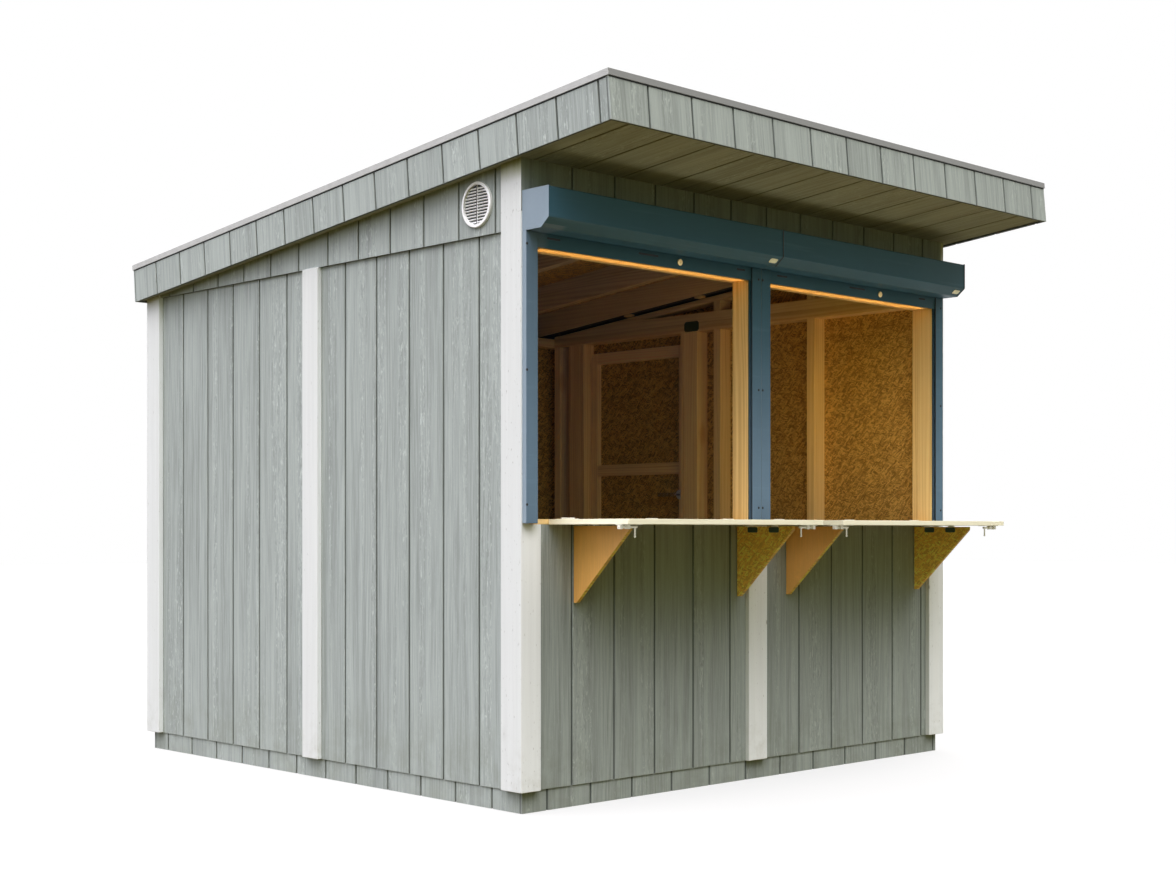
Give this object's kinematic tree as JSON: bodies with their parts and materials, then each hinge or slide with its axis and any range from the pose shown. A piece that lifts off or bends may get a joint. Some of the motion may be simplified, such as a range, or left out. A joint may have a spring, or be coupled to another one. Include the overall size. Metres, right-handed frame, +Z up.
{
  "type": "wooden market hut",
  "caption": "Timber market hut with a sloping roof and deep front eave, grooved sheet siding, roller shutter boxes over a serving opening, folding counter boards on brackets and a side door",
  "frame": {"origin": "centre of the roof's outline, on the ground under the plinth", "axes": "+X to the hut's right seen from the front, +Y to the back, +Z up; the counter faces -Y"},
  "size_m": [2.516, 3.099, 2.4269],
  "materials": {
    "sage_siding": "sage grey painted engineered siding with an embossed wood grain",
    "white_trim": "whitewashed planed boards with small knots",
    "framing_timber": "planed softwood framing",
    "strand_board": "strand board",
    "pale_plywood": "pale plywood with bare edges",
    "bracket_board": "board with one smooth brown face and one strand face",
    "blue_shutter": "blue-grey powder coated aluminium",
    "edge_metal": "light grey coated sheet metal",
    "roof_sheet": "dark roofing membrane",
    "white_plastic": "white moulded plastic",
    "steel": "yellow zinc plated steel"
  },
  "bodies": {
    "hut": {"plinth": "sage_siding", "floor_bearers": "framing_timber", "floor_deck": "strand_board", "siding_left_lower": "sage_siding", "siding_left_upper": "sage_siding", "siding_right_front": "sage_siding", "siding_right_rear": "sage_siding", "siding_over_door": "sage_siding", "siding_right_upper": "sage_siding", "siding_front_apron": "sage_siding", "siding_front_upper": "sage_siding", "siding_rear": "sage_siding", "corner_posts": "white_trim", "cover_strips": "white_trim", "bottom_plates": "framing_timber", "top_plates": "framing_timber", "gable_plates": "framing_timber", "sloping_plates": "framing_timber", "wall_studs": "framing_timber", "front_posts": "framing_timber", "front_sill": "framing_timber", "front_lintel": "framing_timber", "rafters": "framing_timber", "roof_deck": "strand_board", "roof_covering": "roof_sheet", "fascia_boards": "sage_siding", "roof_trim": "edge_metal", "front_soffit": "sage_siding", "eave_soffits": "sage_siding", "shutter_box_left": "blue_shutter", "shutter_box_right": "blue_shutter", "guide_rails": "blue_shutter", "end_slats": "blue_shutter", "vent_grille": "white_plastic", "door_lining": "framing_timber", "door_hinges": "steel", "counter_hinges": "steel"},
    "door": {"door_skin": "sage_siding", "door_ledges": "framing_timber", "door_fittings": "steel"},
    "door_lever": {"door_lever": "steel"},
    "counter_left": {"counter_board_left": "pale_plywood", "counter_fittings_left": "steel"},
    "counter_right": {"counter_board_right": "pale_plywood", "counter_fittings_right": "steel"},
    "bracket_left_outer": {"bracket_left_outer": "bracket_board"},
    "bracket_left_inner": {"bracket_left_inner": "bracket_board"},
    "bracket_right_inner": {"bracket_right_inner": "bracket_board"},
    "bracket_right_outer": {"bracket_right_outer": "bracket_board"},
    "bolt_left_outer": {"bolt_left_outer": "steel"},
    "bolt_left_inner": {"bolt_left_inner": "steel"},
    "bolt_right_inner": {"bolt_right_inner": "steel"},
    "bolt_right_outer": {"bolt_right_outer": "steel"}
  },
  "joints": [
    {"name": "door_swing", "type": "hinge", "parent": "hut", "child": "door", "pos_m": [1.1958, 1.166, 1], "axis": [0, 0, 1], "range_deg": [0, 110]},
    {"name": "lever_turn", "type": "hinge", "parent": "door", "child": "door_lever", "pos_m": [1.1885, 0.5005, 1.14488], "axis": [-1, 0, 0], "range_deg": [0, 40]},
    {"name": "counter_left_fold", "type": "hinge", "parent": "hut", "child": "counter_left", "pos_m": [-0.5725, -1.039, 1.0063], "axis": [1, 0, 0], "range_deg": [-90, 0]},
    {"name": "counter_right_fold", "type": "hinge", "parent": "hut", "child": "counter_right", "pos_m": [0.576, -1.039, 1.0063], "axis": [1, 0, 0], "range_deg": [-90, 0]},
    {"name": "bracket_left_outer_fold", "type": "hinge", "parent": "counter_left", "child": "bracket_left_outer", "pos_m": [-0.9382, -1.181, 0.9817], "axis": [0, -1, 0], "range_deg": [0, 90]},
    {"name": "bracket_left_inner_fold", "type": "hinge", "parent": "counter_left", "child": "bracket_left_inner", "pos_m": [-0.1168, -1.181, 0.9817], "axis": [0, 1, 0], "range_deg": [0, 90]},
    {"name": "bracket_right_inner_fold", "type": "hinge", "parent": "counter_right", "child": "bracket_right_inner", "pos_m": [0.1918, -1.181, 0.9817], "axis": [0, -1, 0], "range_deg": [0, 90]},
    {"name": "bracket_right_outer_fold", "type": "hinge", "parent": "counter_right", "child": "bracket_right_outer", "pos_m": [1.0132, -1.181, 0.9817], "axis": [0, 1, 0], "range_deg": [0, 90]},
    {"name": "bolt_left_outer_slide", "type": "slide", "parent": "counter_left", "child": "bolt_left_outer", "axis": [-1, 0, 0], "range_m": [0, 0.02]},
    {"name": "bolt_left_inner_slide", "type": "slide", "parent": "counter_left", "child": "bolt_left_inner", "axis": [1, 0, 0], "range_m": [0, 0.02]},
    {"name": "bolt_right_inner_slide", "type": "slide", "parent": "counter_right", "child": "bolt_right_inner", "axis": [-1, 0, 0], "range_m": [0, 0.02]},
    {"name": "bolt_right_outer_slide", "type": "slide", "parent": "counter_right", "child": "bolt_right_outer", "axis": [1, 0, 0], "range_m": [0, 0.02]}
  ]
}
